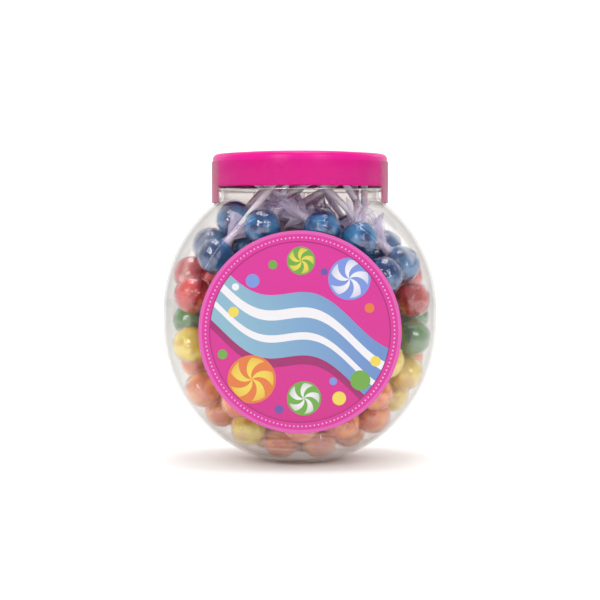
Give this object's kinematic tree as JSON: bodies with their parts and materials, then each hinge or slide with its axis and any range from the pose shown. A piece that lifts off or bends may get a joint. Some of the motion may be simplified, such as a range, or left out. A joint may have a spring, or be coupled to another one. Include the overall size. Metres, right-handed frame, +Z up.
{
  "type": "jar of ball lollipops",
  "caption": "Clear round jar with flat front and back panels, a magenta screw lid, a seal band and a round label, filled with ball lollipops.",
  "frame": {"origin": "on the surface that the jar stands on, under the middle of its box", "axes": "+Z up, -Y out of the front panel that carries the label, +X to the right as the front is seen"},
  "size_m": [0.1432, 0.096, 0.1607],
  "materials": {
    "clear_plastic": "clear, thin-walled blow-moulded plastic with a gloss surface",
    "lid_plastic": "magenta moulded plastic, satin gloss",
    "seal_film": "clear shrunk film with fine upright creases",
    "label_paper": "coated label with a satin print: magenta ground with plain pale blue, green and yellow shapes",
    "candy": "wrapped boiled sweets in blue, red, green, yellow and orange, on white sticks"
  },
  "bodies": {
    "root": {"jar": "clear_plastic", "lid": "lid_plastic", "seal_band": "seal_film", "label": "label_paper", "lollipops": "candy"}
  },
  "joints": []
}
